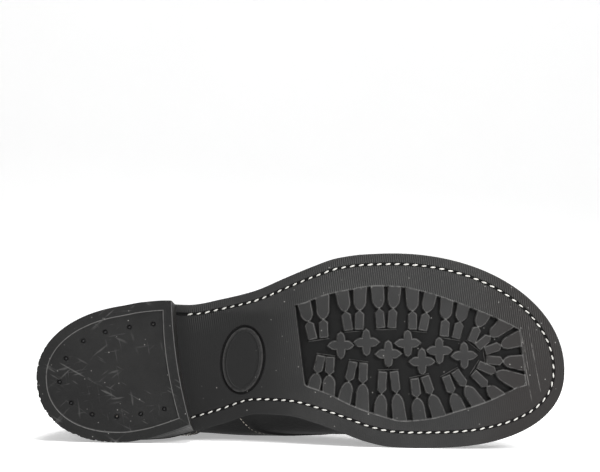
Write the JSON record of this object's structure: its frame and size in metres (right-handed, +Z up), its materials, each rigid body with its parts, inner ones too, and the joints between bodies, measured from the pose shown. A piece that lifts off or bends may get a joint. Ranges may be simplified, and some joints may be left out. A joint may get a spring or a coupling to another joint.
{
  "type": "lace-up work boot",
  "caption": "Right lace-up work boot lying on its inner side, with a stitched welt, a lugged forefoot panel and a stacked heel.",
  "frame": {"origin": "centre of the bottom of the boot's box, on the floor that its inner side lies on", "axes": "+X from the heel to the toe, +Y from the tread to the collar, +Z up from the floor, towards the outer side of the foot"},
  "size_m": [0.2998, 0.2012, 0.1096],
  "materials": {
    "outsole_rubber": "matt black moulded rubber, scuffed",
    "welt_leather": "black dressed edge",
    "heel_stack": "black dressed edge",
    "upper_leather": "black oiled leather, semi-matt",
    "insole_board": "plain vegetable-tanned board",
    "eyelet_metal": "black lacquered",
    "lace_cord": "braided cord"
  },
  "bodies": {
    "root": {"outsole": "outsole_rubber", "top_lift": "outsole_rubber", "welt": "welt_leather", "heel_block": "heel_stack", "insole": "insole_board", "upper": "upper_leather", "heel_counter": "upper_leather", "eyestay_lateral": "upper_leather", "eyestay_medial": "upper_leather", "tongue": "upper_leather", "lace": "lace_cord", "eyelet_lateral_1": "eyelet_metal", "eyelet_lateral_2": "eyelet_metal", "eyelet_lateral_3": "eyelet_metal", "eyelet_lateral_4": "eyelet_metal", "eyelet_lateral_5": "eyelet_metal", "eyelet_lateral_6": "eyelet_metal", "eyelet_lateral_7": "eyelet_metal", "eyelet_medial_1": "eyelet_metal", "eyelet_medial_2": "eyelet_metal", "eyelet_medial_3": "eyelet_metal", "eyelet_medial_4": "eyelet_metal", "eyelet_medial_5": "eyelet_metal", "eyelet_medial_6": "eyelet_metal", "eyelet_medial_7": "eyelet_metal"}
  },
  "joints": []
}
